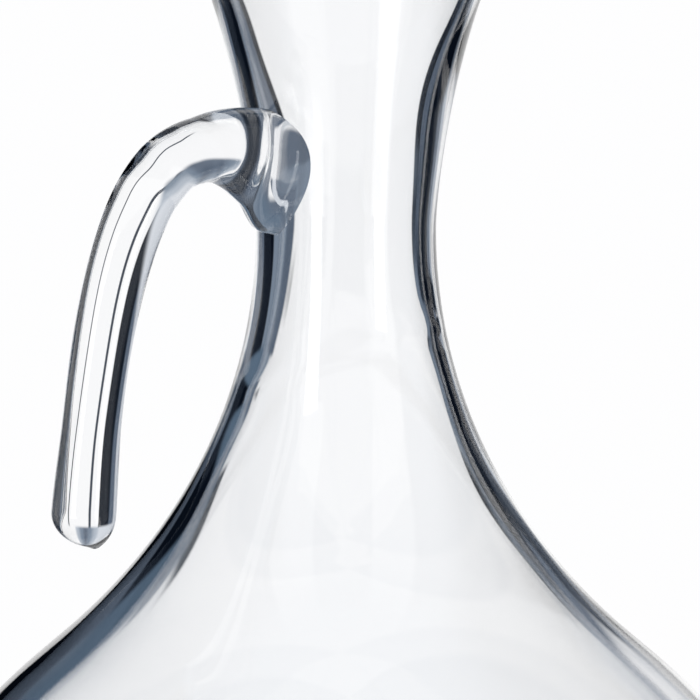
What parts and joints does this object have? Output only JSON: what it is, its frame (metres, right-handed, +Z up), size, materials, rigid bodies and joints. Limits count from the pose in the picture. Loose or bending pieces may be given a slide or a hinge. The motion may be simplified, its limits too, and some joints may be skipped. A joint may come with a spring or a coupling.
{
  "type": "decanter",
  "caption": "Clear blown glass decanter with a wide bowl, narrow neck and flared mouth, and a solid glass hook handle applied to the neck, for airing and pouring wine.",
  "frame": {"origin": "middle of the foot ring, on the surface that the decanter stands on", "axes": "+Z up along the vessel's axis; +Y from the axis towards the handle; +X across the handle's plane"},
  "size_m": [0.19, 0.19, 0.242],
  "materials": {
    "vessel_glass": "clear, fire polished, slightly wavy",
    "handle_glass": "clear, fire polished, fine drawn streaks"
  },
  "bodies": {
    "root": {"vessel": "vessel_glass", "handle": "handle_glass"}
  },
  "joints": []
}
